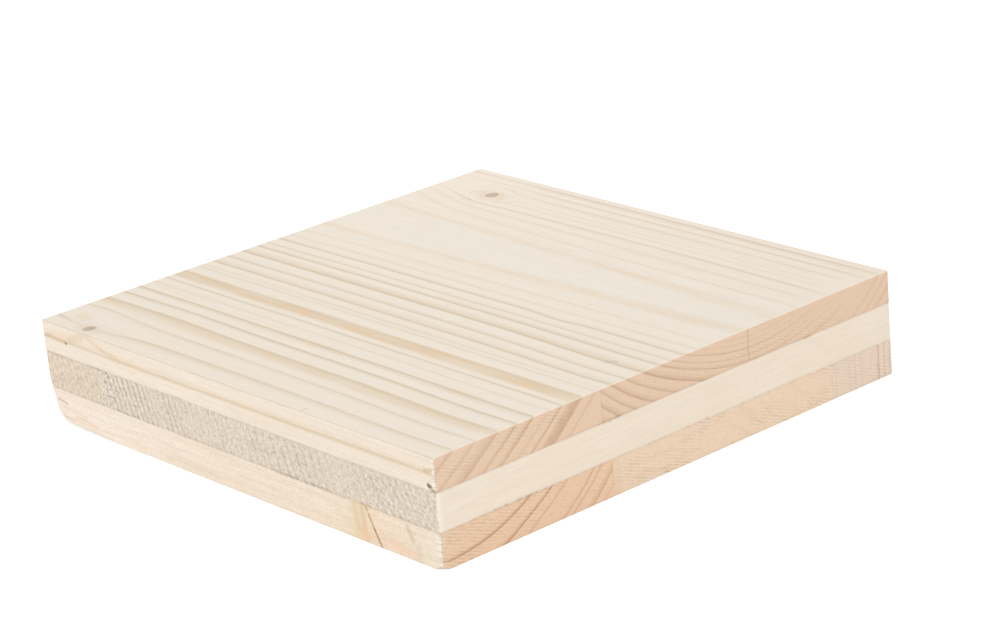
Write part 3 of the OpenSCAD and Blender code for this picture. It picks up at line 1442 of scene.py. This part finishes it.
# %% Block
def block(low, high, pitch, extra_cuts):
    """A board in millimetres, eased outside, with a grid of about the given pitch."""
    bm = bmesh.new()
    bmesh.ops.create_cube(bm, size=1.0)
    bmesh.ops.scale(bm, vec=high - low, verts=bm.verts)
    bmesh.ops.translate(bm, vec=(low + high) / 2, verts=bm.verts)
    bm.normal_update()
    outer = [edge for edge in bm.edges if all(is_outer(face) for face in edge.link_faces)]
    bmesh.ops.bevel(bm, geom=outer, offset=EASE, offset_type="OFFSET", segments=EASE_STEPS,
                    profile=0.5, affect="EDGES", material=-1)
    for axis in range(3):
        length = high[axis] - low[axis]
        runs = [edge for edge in bm.edges
                if abs(edge.verts[1].co[axis] - edge.verts[0].co[axis]) > length / 2]
        bmesh.ops.subdivide_edges(bm, edges=runs, cuts=round(length / pitch[axis]) - 1)
    for axis, level in extra_cuts:
        normal = Vector([float(axis == k) for k in range(3)])
        bmesh.ops.bisect_plane(bm, geom=bm.verts[:] + bm.edges[:] + bm.faces[:], dist=NEAR,
                               plane_co=normal * level, plane_no=normal)
    bm.normal_update()
    for axis, level in glued_planes(low, high):
        flat = [face for face in bm.faces
                if abs(face.normal[axis]) > SQUARE_ON
                and abs(face.calc_center_median()[axis] - level) < EXACT]
        bmesh.ops.dissolve_faces(bm, faces=flat, use_verts=False)
    return bm


# %% [markdown]
# ## Marks of saw, glue and handling
#
# Every mark is a small function of a place on the surface. It answers how deep the wood
# is cut there, how much shade is painted into its colour there, and how pale it is
# painted, for frayed fibres and for painted highlights on arrises. Sculpting would give
# such marks too, but a function can be read and changed. The marks only ever cut inwards,
# so the panel keeps its size. All the noise is fixed, so every run gives the same panel.

# %% Noise and ramps
# A mark has a depth, the shade painted into the colour there, and how pale it is painted for frayed
# fibres and painted highlights.
Mark = namedtuple("Mark", "depth hollow frayed", defaults=[0.0, 0.0, 0.0])
STEP_X, STEP_Y, STEP_Z = 17.3, -9.1, 5.7


def cloud(grain, x, y=0.0, z=0.0):
    """Soft noise of a grain, between -1 and 1. Each seed looks at another part of it."""
    (along, across, up), seed = grain.size, grain.seed
    return noise.noise(Vector((
        x / along + STEP_X * seed, y / across + STEP_Y * seed, z / up + STEP_Z * seed,
    )))


def smooth(value, edge):
    """Goes smoothly from 0 to 1 as the value crosses an edge, given as (start, end)."""
    start, end = edge
    share = min(max((value - start) / (end - start), 0.0), 1.0)
    return share * share * (3 - 2 * share)


def bell(gap, reach):
    """A soft hill, 1 in the middle and near 0 at twice its reach."""
    return math.exp(-(gap / reach) ** 2)


class Stretch(NamedTuple):
    """A stretch along one side of the panel where a mark is stronger."""

    middle: float
    reach: float
    strength: float


def strength_at(along, stretches):
    """The strength that several stretches add up to at a place along the side."""
    return sum(one.strength * bell(along - one.middle, one.reach) for one in stretches)


print("noise of seed 1 at the origin:", round(cloud(Grain((1, 1, 1), seed=1), 0), 3))

# %% [markdown]
# ## Glue lines
#
# Beside the hard glue the saw tears a little of the softer wood away. So a glue line is
# a shallow groove that comes and goes, with painted shade in it that is dark only in a few
# stretches. A line of one strength would look drawn.

# %% Glue lines
FRONT, END = "front", "end"
CORE_LOW, CORE_HIGH = (corner.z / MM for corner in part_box("core_board_2"))
CORE_MIDDLE = (CORE_LOW + CORE_HIGH) / 2
PLAIN_SEAM = 0.18
GLUE_SEAMS = {
    (FRONT, "upper"): (Stretch(-70, 5, 1.0), Stretch(-53, 4, 0.8), Stretch(-20, 2, 0.5),
                       Stretch(62, 5, 0.5)),
    (FRONT, "lower"): (Stretch(25, 9, 0.9), Stretch(49, 2, 1.0), Stretch(-41, 2, 0.8),
                       Stretch(-15, 3, 0.5)),
    (END, "upper"): (Stretch(-18.5, 5, 1.0), Stretch(10.5, 3, 0.7), Stretch(43.5, 3, 0.6)),
    (END, "lower"): (Stretch(-54.5, 11, 0.8), Stretch(5, 4, 0.4)),
}
GLUE_REACH = 0.3
GLUE_WAVE = Grain((2.6, 3, 1), seed=1)
GLUE_BREAKS = Grain((0.9, 1, 1), seed=2)
BREAK_EDGE = (-0.1, 0.45)
WAVE_DEPTH, BREAK_DEPTH = 0.05, 0.22
PLAIN_SHADE, WAVE_SHADE = 0.07, 0.05
SEAM_WAVE_SHADE, SEAM_BREAK_SHADE = 0.2, 0.45
JOINT_REACH = 0.2
JOINT = Mark(depth=0.03, hollow=0.06)


def seam_strength(point, outward):
    """How clearly the glue line shows at a place on one of the four sides."""
    side, along = (FRONT, point.x) if abs(outward.y) > abs(outward.x) else (END, point.y)
    level = "upper" if point.z > CORE_MIDDLE else "lower"
    return min(PLAIN_SEAM + strength_at(along, GLUE_SEAMS[side, level]), 1.0)


def glue_line(point, outward):
    """A shallow uneven groove beside a glue line, with painted shade that darkens in soft
    stretches.
    """
    near = bell(min(abs(point.z - CORE_LOW), abs(point.z - CORE_HIGH)), GLUE_REACH)
    strength = seam_strength(point, outward)
    along = point.x + point.y
    wave = 0.5 + 0.5 * cloud(GLUE_WAVE, along, point.z)
    broken = smooth(cloud(GLUE_BREAKS, along, point.z), BREAK_EDGE)
    depth = WAVE_DEPTH * wave + BREAK_DEPTH * strength * broken
    hollow = PLAIN_SHADE + WAVE_SHADE * wave
    hollow += strength * (SEAM_WAVE_SHADE * wave + SEAM_BREAK_SHADE * broken)
    return Mark(depth * near, hollow * near)


def board_joint(gap):
    """The hairline between two boards of the same ply: a faint groove with a little painted shade.
    """
    near = bell(gap, JOINT_REACH)
    return Mark(JOINT.depth * near, JOINT.hollow * near)


print("the core runs from", round(CORE_LOW, 2), "to", round(CORE_HIGH, 2))

# %% [markdown]
# ## Strokes across the end of the core
#
# On the long side the saw met the core across its fibres. A blunt tooth leaves a leaning
# dark stroke in such end grain, broken up into tufts, with pale beads of fibre between
# the strokes. The dark of a stroke and of the torn specks is partly the wood's own colour
# and partly painted shade in the cut. Where the grain tore, specks and beads take over.
# The tan board at one end was cut cleanly. An image could show the strokes, but a cosine
# wave whose phase drifts gives their uneven spacing too, and it needs only a few numbers.

# %% Saw strokes across the end of the core
TAN_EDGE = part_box("core_board_1")[1].x / MM
STROKE_SPACING = 2.4
FEED_SWAY = 1.55
FEED_PERIOD = 140.0
CLOSEST_STROKES = -42.0
STROKE_LEAN, LATE_LEAN = 0.35, 0.3
LATE_EDGE = (35, 60)
STROKE_BEND, BEND_TURNS = Grain((4, 7, 6), seed=3), 0.25
PLAIN_STROKE = 0.31
STROKE_ZONES = (
    Stretch(-42, 10, 0.73), Stretch(-24, 8, 0.24), Stretch(9, 5, 0.08), Stretch(28, 9, 0.24),
    Stretch(61, 8, 0.2),
)
TORN_ZONES = (Stretch(-50, 4, 1.1), Stretch(58, 7, 0.4), Stretch(72, 3, 0.6))
FORCE, NEXT_FORCE = Grain((1, 20, 30), seed=15), 0.37
FORCE_MEAN, FORCE_SWING = 0.85, 0.9
LEAST_FORCE, MOST_FORCE = 0.4, 1.2
TUFTS, TUFT_EDGE = Grain((0.7, 1, 1.7), seed=4), (-0.55, 0.05)
BEADS = Grain((0.45, 1, 0.8), seed=5)
GRIT = Grain((0.45, 1, 0.7), seed=14)
BEAD_EDGE = (0.1, 0.45)
DARK_EDGE, PALE_EDGE = (0.0, 0.95), (0.0, 0.9)
STROKE_DEPTH, SAWN_DEPTH, GRIT_DEPTH = 0.22, 0.05, 0.05
STROKE_SHADE, GRIT_SHADE = 0.38, 0.31
STROKE_FRAY, BEAD_FRAY = 0.58, 0.44


def zone_strength(x, zones):
    """How hard the saw tore the end grain of the core at a place along the side."""
    return strength_at(x, zones) if x >= TAN_EDGE else 0.0


def saw_stroke(point):
    """Leaning strokes of a blunt saw in the core's end grain, broken up into tufts, darkened partly
    with painted shade.
    """
    x, y, z = point
    strength = min(PLAIN_STROKE + zone_strength(x, STROKE_ZONES), 1.0)
    torn = 1 + zone_strength(x, TORN_ZONES)
    lean = STROKE_LEAN + LATE_LEAN * smooth(x, LATE_EDGE)
    across = x + lean * (z - CORE_MIDDLE)
    feed = FEED_SWAY * math.sin(2 * math.pi * (across - CLOSEST_STROKES) / FEED_PERIOD)
    bend = BEND_TURNS * cloud(STROKE_BEND, across, y, z)
    turn = across / STROKE_SPACING + feed + bend
    wave = math.cos(2 * math.pi * turn)
    force = FORCE_MEAN + FORCE_SWING * cloud(FORCE, round(turn) * NEXT_FORCE, y, z)
    force = min(max(force, LEAST_FORCE), MOST_FORCE)
    tuft = smooth(cloud(TUFTS, across, y, z), TUFT_EDGE)
    bead = smooth(cloud(BEADS, across, y, z), BEAD_EDGE)
    grit = smooth(cloud(GRIT, across, y, z), BEAD_EDGE)
    dark = strength * force * smooth(wave, DARK_EDGE) * tuft
    pale = strength * smooth(-wave, PALE_EDGE) * bead
    return Mark(
        depth=STROKE_DEPTH * dark + SAWN_DEPTH + GRIT_DEPTH * grit,
        hollow=STROKE_SHADE * dark + GRIT_SHADE * grit * torn,
        frayed=STROKE_FRAY * pale + BEAD_FRAY * bead * (1 - grit) * torn,
    )


print("the tan board ends at", round(TAN_EDGE, 2))

# %% [markdown]
# ## Torn fibres at the near arris
#
# Where a saw leaves the wood, the last fibres have no support and break out in teeth.
# A few of them folded over the arris and lie pale on the end grain beside it. They aren't
# drawn one by one: noise that is short along the arris gives each tooth its own length.

# %% Torn fibres at the near arris
Pit = namedtuple("Pit", "x z reach strength")
TORN_PITS = (
    Pit(73.35, 19.75, 0.42, 0.8), Pit(73.95, 19.1, 0.42, 0.65), Pit(73.8, 24.1, 0.35, 0.4),
)
PIT_DEPTH, PIT_SHADE = 0.6, 0.85
TEETH, TOOTH_EDGE = Grain((0.42, 5, 1), seed=6), (-0.1, 0.3)
TOOTH_LENGTH = Grain((1.3, 1, 1), seed=7)
SHORTEST_TOOTH, TOOTH_SWING = 0.3, 1.3
TOOTH_DEPTH, TOOTH_SHADE, TOOTH_FRAY = 0.25, 0.16, 0.75


def torn_arris(point):
    """Teeth of torn fibre beside the vertical arris where the saw broke out, with painted shade
    where fibres broke away and in the pits.
    """
    gap = HIGH.x - point.x
    if gap > TORN_REACH:
        return Mark()
    tooth = smooth(cloud(TEETH, point.z, point.x), TOOTH_EDGE)
    length = SHORTEST_TOOTH + TOOTH_SWING * abs(cloud(TOOTH_LENGTH, point.z))
    near = smooth(gap, (TORN_REACH * length, 0.0))
    depth, hollow = TOOTH_DEPTH * tooth * near, TOOTH_SHADE * tooth * near
    for pit in TORN_PITS:
        in_pit = pit.strength * bell(math.hypot(point.x - pit.x, point.z - pit.z), pit.reach)
        depth += PIT_DEPTH * in_pit
        hollow += PIT_SHADE * in_pit
    return Mark(depth, hollow, TOOTH_FRAY * (1 - tooth) * near)


print("pits at the torn arris:", len(TORN_PITS))

# %% Folded fibres, and a painted highlight on the core
FOLD_PITCH = 0.7
FOLD_REACH = 2.4
FOLD_SWAY, SWAY_TURNS = Grain((1.5, 1, 1), seed=17), 0.5
FOLD_LENGTH = Grain((0.9, 1, 1), seed=18)
FOLD_MEAN, FOLD_SWING, LEAST_FOLD = 0.5, 0.9, 0.3
TOP_FOLD = 0.4
FOLD_DEPTH, FOLD_SHADE, FOLD_FRAY = 0.08, 0.1, 0.8
GAP_RISE, FOLD_RISE = (0, 1), (-0.2, 0.8)
# On the core the pale band beside the arris is a painted highlight.
CORE_EDGE_REACH, CORE_EDGE_SWING, CORE_EDGE_HIGHLIGHT = 1.6, 0.8, 0.7
CORE_EDGE = Grain((1.2, 1, 1), seed=23)


def folded_fibres_and_core_highlight(name, point):
    """Fibre ends that were folded over the same arris and lie on the end grain. On a core board, a
    pale band of painted highlight beside the arris instead.
    """
    gap = point.y - LOW.y
    if gap > FOLD_REACH:
        return Mark()
    # On the core this is no fibre but a painted highlight: a pale band beside the arris.
    if name.startswith("core"):
        reach = CORE_EDGE_REACH + CORE_EDGE_SWING * cloud(CORE_EDGE, point.z)
        return Mark(frayed=CORE_EDGE_HIGHLIGHT * smooth(gap, (reach, 0.0)))
    turn = point.z / FOLD_PITCH + SWAY_TURNS * cloud(FOLD_SWAY, point.z)
    row = math.cos(2 * math.pi * turn)
    length = FOLD_MEAN + FOLD_SWING * cloud(FOLD_LENGTH, point.z)
    reach = FOLD_REACH * (1.0 if point.z < CORE_LOW else TOP_FOLD) * length
    near = smooth(gap, (max(reach, LEAST_FOLD), 0.0))
    between = smooth(-row, GAP_RISE) * near
    return Mark(FOLD_DEPTH * between, FOLD_SHADE * between,
                FOLD_FRAY * smooth(row, FOLD_RISE) * near)


print("folded fibres at most", FOLD_REACH, "mm long")

# %% [markdown]
# ## Drying check and arrises
#
# Wood dries faster at its ends and splits there. The one split is finer than the grid,
# so it has three cuts of its own, and the middle one is pressed in. The arrises of the
# face need no relief: the end one gets a painted highlight, and the long one is painted
# slightly darker.

# %% Drying check and arrises
CHECK_FADE = 1.5
# The split is cut in and darkened with painted shade.
CHECK = Mark(depth=0.35, hollow=0.3)
# The least part of its outward direction that a tilted place has along an axis.
TILTED = 0.3
# The end arris gets a painted highlight. The long one is painted darker towards the shade colour,
# in patches.
ARRIS_HIGHLIGHT = 0.6
LONG_ARRIS_DARKENING, LONG_ARRIS_SWING = 0.27, 0.1
LONG_ARRIS_PATCHES = Grain((5, 1, 1), seed=19)


def drying_check(point):
    """A hairline split in the end grain, from the top arris down towards the glue."""
    on_line = abs(point.y - CHECK_Y) < CHECK_HALF / 2
    if point.x < HIGH.x - EASE or not on_line:
        return Mark()
    open_here = smooth(point.z, (CORE_HIGH, CORE_HIGH + CHECK_FADE))
    return Mark(CHECK.depth * open_here, CHECK.hollow * open_here)


def arris(point, outward):
    """The end arris of the face gets a painted highlight, and the long one is painted slightly
    darker.
    """
    if outward.z < TILTED or point.z < CORE_HIGH:
        return Mark()
    if abs(outward.x) > TILTED:
        return Mark(frayed=ARRIS_HIGHLIGHT)
    if abs(outward.y) > TILTED:
        return Mark(hollow=LONG_ARRIS_DARKENING + LONG_ARRIS_SWING * cloud(LONG_ARRIS_PATCHES, point.x))
    return Mark()


print("drying check at y", CHECK_Y)

# %% [markdown]
# ## Corners that were knocked
#
# One lower corner was knocked and worn to three flats, and the one at the other end of
# the same edge lost a small chip. The solid model has the same flats. Cutting them off
# with a boolean would leave them smooth and lose the grid. So the grid is pressed onto
# them instead, with a little noise, and the wear runs on from ply to ply.

# %% Knocked corners
FAR_CORNER = LOW
NEAR_CORNER = Vector((HIGH.x, LOW.y, LOW.z))
# Each flat has a corner and a reach along X, Y and Z, the same as in the solid model.
FLATS = (
    (FAR_CORNER, (3.2, 3.0, 13.0)),
    (FAR_CORNER, (6.2, 6.0, 5.4)),
    (FAR_CORNER, (28.0, 18.0, 1.35)),
    (NEAR_CORNER, (2.8, 2.3, 1.5)),
)
BRUISE, BRUISE_SHARE = Grain((1.4, 1.4, 1.4), seed=8), 0.03
DENT, DENT_SHARE = Grain((0.6, 0.6, 0.6), seed=9), 0.02
WORN = 0.02


def press_on_flat(point, corner, reach, level_glued):
    """Moves a point that stands outside a corner's flat straight onto that flat."""
    away = Vector((abs(point.x - corner.x), abs(point.y - corner.y), point.z - corner.z))
    slope = Vector(1 / length for length in reach)
    bruise = BRUISE_SHARE * cloud(BRUISE, *point) + DENT_SHARE * cloud(DENT, *point)
    lack = 1 + bruise - away.dot(slope)
    if lack <= 0:
        return point, 0.0
    if level_glued:
        slope.z = 0.0
    push = slope * (lack / slope.length_squared)
    inward = Vector((math.copysign(1, -corner.x), math.copysign(1, -corner.y), 1))
    return point + push * inward, push.length


def pressed_on_corners(point, level_glued, ceiling):
    """Moves a place onto the flats of the two knocked corners."""
    wear = 0.0
    for corner, reach in FLATS:
        point, push = press_on_flat(point, corner, reach, level_glued)
        wear += push
    if wear > WORN and not level_glued:
        point.z = min(point.z, ceiling)
    return point


print("flats on the lower corners:", len(FLATS))

# %% [markdown]
# ## Working a block
#
# Now every vertex on the outside is moved inwards by the marks at its place. A vertex in
# a glued plane may only slide within that plane, so no gap opens between two boards. The
# same pass writes the masks of painted shade and of paleness, for frayed fibres and
# painted highlights, so colour and relief agree.

# %% Working a block
# The least part of its outward direction that a place has along the axis it faces.
FACING = 0.7
JOINT_NEAR = 0.6
GLUE_NEAR = 1.0
DEEPEST_MASK = 0.95
LEAST_OUTWARD = 0.1
# A worn place keeps this share of its gap to the glue line above, and never crosses it.
CEILING_SHARE = 0.2


def plane_gap(point, planes, axes):
    """The distance from a place to the nearest glued plane across the given axes."""
    return min((abs(point[axis] - level) for axis, level in planes if axis in axes), default=WIDE)


def marks_at(name, point, outward, planes):
    """Everything that marks one place on the outside of a board."""
    marks = [arris(point, outward)]
    if abs(outward.z) > FACING:
        return marks
    joint_gap = plane_gap(point, planes, (0, 1))
    if joint_gap < JOINT_NEAR:
        marks.append(board_joint(joint_gap))
    if plane_gap(point, planes, (2,)) < GLUE_NEAR:
        marks.append(glue_line(point, outward))
    if name.startswith("core") and abs(outward.y) > FACING:
        marks.append(saw_stroke(point))
    if not name.startswith("core") and outward.y < -TILTED:
        marks.append(torn_arris(point))
    if outward.x > TILTED:
        marks.append(folded_fibres_and_core_highlight(name, point))
    if name == "top_board_2":
        marks.append(drying_check(point))
    return marks


def work(bm, name, low, high):
    """Cuts every mark of one board into its block, and writes the two masks."""
    planes = glued_planes(low, high)
    painted_shade_layer = bm.verts.layers.float.new("hollow")
    frayed_and_highlight_layer = bm.verts.layers.float.new("frayed")
    hidden = {face for face in bm.faces if is_glued(face)}
    moves = []
    for vert in bm.verts:
        outward = Vector()
        for face in vert.link_faces:
            if face not in hidden:
                outward += face.normal
        if outward.length < LEAST_OUTWARD:
            continue
        outward.normalize()
        marks = marks_at(name, vert.co, outward, planes)
        # Painted shade, and paleness for frayed fibres and painted highlights.
        vert[painted_shade_layer] = min(sum(mark.hollow for mark in marks), DEEPEST_MASK)
        vert[frayed_and_highlight_layer] = min(sum(mark.frayed for mark in marks), DEEPEST_MASK)
        point = vert.co - outward * sum(mark.depth for mark in marks)
        for axis, level in planes:
            if abs(vert.co[axis] - level) < EXACT:
                point[axis] = level
        level_glued = plane_gap(vert.co, planes, (2,)) < EXACT
        ceiling = high.z - CEILING_SHARE * (high.z - vert.co.z)
        moves.append((vert, pressed_on_corners(point, level_glued, ceiling)))
    for vert, point in moves:
        vert.co = point


# %% [markdown]
# ## The boards
#
# Each board is built, worked and dressed, and then stands for its solid. Flat shading
# would show the squares of the grid from close by, so the worked surface is shaded smooth.
# Only the edges from a worked face to a glued one are sharp.

# %% Boards
def finished_object(bm, name, material):
    """Turns a mesh in millimetres into an object in the scene, at the origin."""
    bmesh.ops.scale(bm, vec=Vector((MM, MM, MM)), verts=bm.verts)
    mesh = bpy.data.meshes.new(name)
    bm.to_mesh(mesh)
    bm.free()
    made = bpy.data.objects.new(name, mesh)
    bpy.context.collection.objects.link(made)
    mesh.materials.append(material)
    triangles = sum(len(face.vertices) - 2 for face in mesh.polygons)
    print(name, "has", triangles, "triangles")
    return made


def make_board(name, plan):
    """Builds, works and dresses one board, and lets it stand for its solid."""
    low, high = (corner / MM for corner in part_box(name))
    bm = block(low, high, PITCH[name], EXTRA_CUTS.get(name, ()))
    work(bm, name, low, high)
    for edge in bm.edges:
        edge.smooth = len({is_glued(face) for face in edge.link_faces}) == 1
    for face in bm.faces:
        face.smooth = True
    board = finished_object(bm, name + "_worked", board_material(name, plan))
    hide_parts(name)
    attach(board, "root")
    return board


boards = {name: make_board(name, plan) for name, plan in PLANS.items()}
print("boards dressed:", len(boards))

# %% [markdown]
# ## Loose fibres
#
# Where the saw broke out of the near arris, it left fibre ends standing. A displaced
# surface can only rise and fall, so it can't show a fibre with air behind it. Each one
# is a thin four-sided cone that starts inside the wood and ends just short of the arris.
# They are joined into one mesh for each ply, and share the material of their board.

# %% Loose fibres
FIBRE_THICKNESS = 0.13
FIBRE_TAPER = 5
FIBRE_STEP = 0.36
FIBRE_LENGTHS, LENGTH_MEAN, LENGTH_SWING = Grain((0.7, 1, 1), seed=20), 1.5, 1.3
FIBRE_RISES, RISE_SWING = Grain((0.5, 1, 1), seed=21), 0.16
FIBRE_LIFTS, LEAST_LIFT, LIFT_SWING = Grain((0.6, 1, 1), seed=22), 0.05, 0.07
TIP_INSET, ROOT_INSET, ROOT_LIFT = 0.35, 0.22, 0.1
FIBRE_FRAY = 0.75


def loose_fibres(board_name, bottom, top, row):
    """Fibre ends along the torn arris of one ply, as one joined mesh."""
    bm = bmesh.new()
    frayed_and_highlight_layer = bm.verts.layers.float.new("frayed")
    for step in range(int((top - bottom) / FIBRE_STEP)):
        z = bottom + FIBRE_STEP * (step + 0.5)
        length = LENGTH_MEAN + LENGTH_SWING * cloud(FIBRE_LENGTHS, z, row)
        rise = RISE_SWING * cloud(FIBRE_RISES, z, row)
        lift = LEAST_LIFT + LIFT_SWING * abs(cloud(FIBRE_LIFTS, z, row))
        made = bmesh.ops.create_cone(bm, cap_ends=True, segments=4, depth=length,
                                     radius1=FIBRE_THICKNESS,
                                     radius2=FIBRE_THICKNESS / FIBRE_TAPER)
        turn = Vector((1, -lift, rise)).normalized().to_track_quat("Z", "Y")
        middle = Vector((HIGH.x - TIP_INSET - length / 2, LOW.y + ROOT_INSET + ROOT_LIFT * lift, z))
        bmesh.ops.rotate(bm, verts=made["verts"], matrix=turn.to_matrix(), cent=(0, 0, 0))
        bmesh.ops.translate(bm, verts=made["verts"], vec=middle)
        for vert in made["verts"]:
            vert[frayed_and_highlight_layer] = FIBRE_FRAY
    material = boards[board_name].data.materials[0]
    fibres = finished_object(bm, "loose_fibres_of_" + board_name, material)
    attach(fibres, "root")


loose_fibres("top_board_1", bottom=CORE_HIGH + 0.3, top=HIGH.z - 0.8, row=1)
loose_fibres("bottom_board_1", bottom=LOW.z + 1.8, top=CORE_LOW - 0.2, row=2)
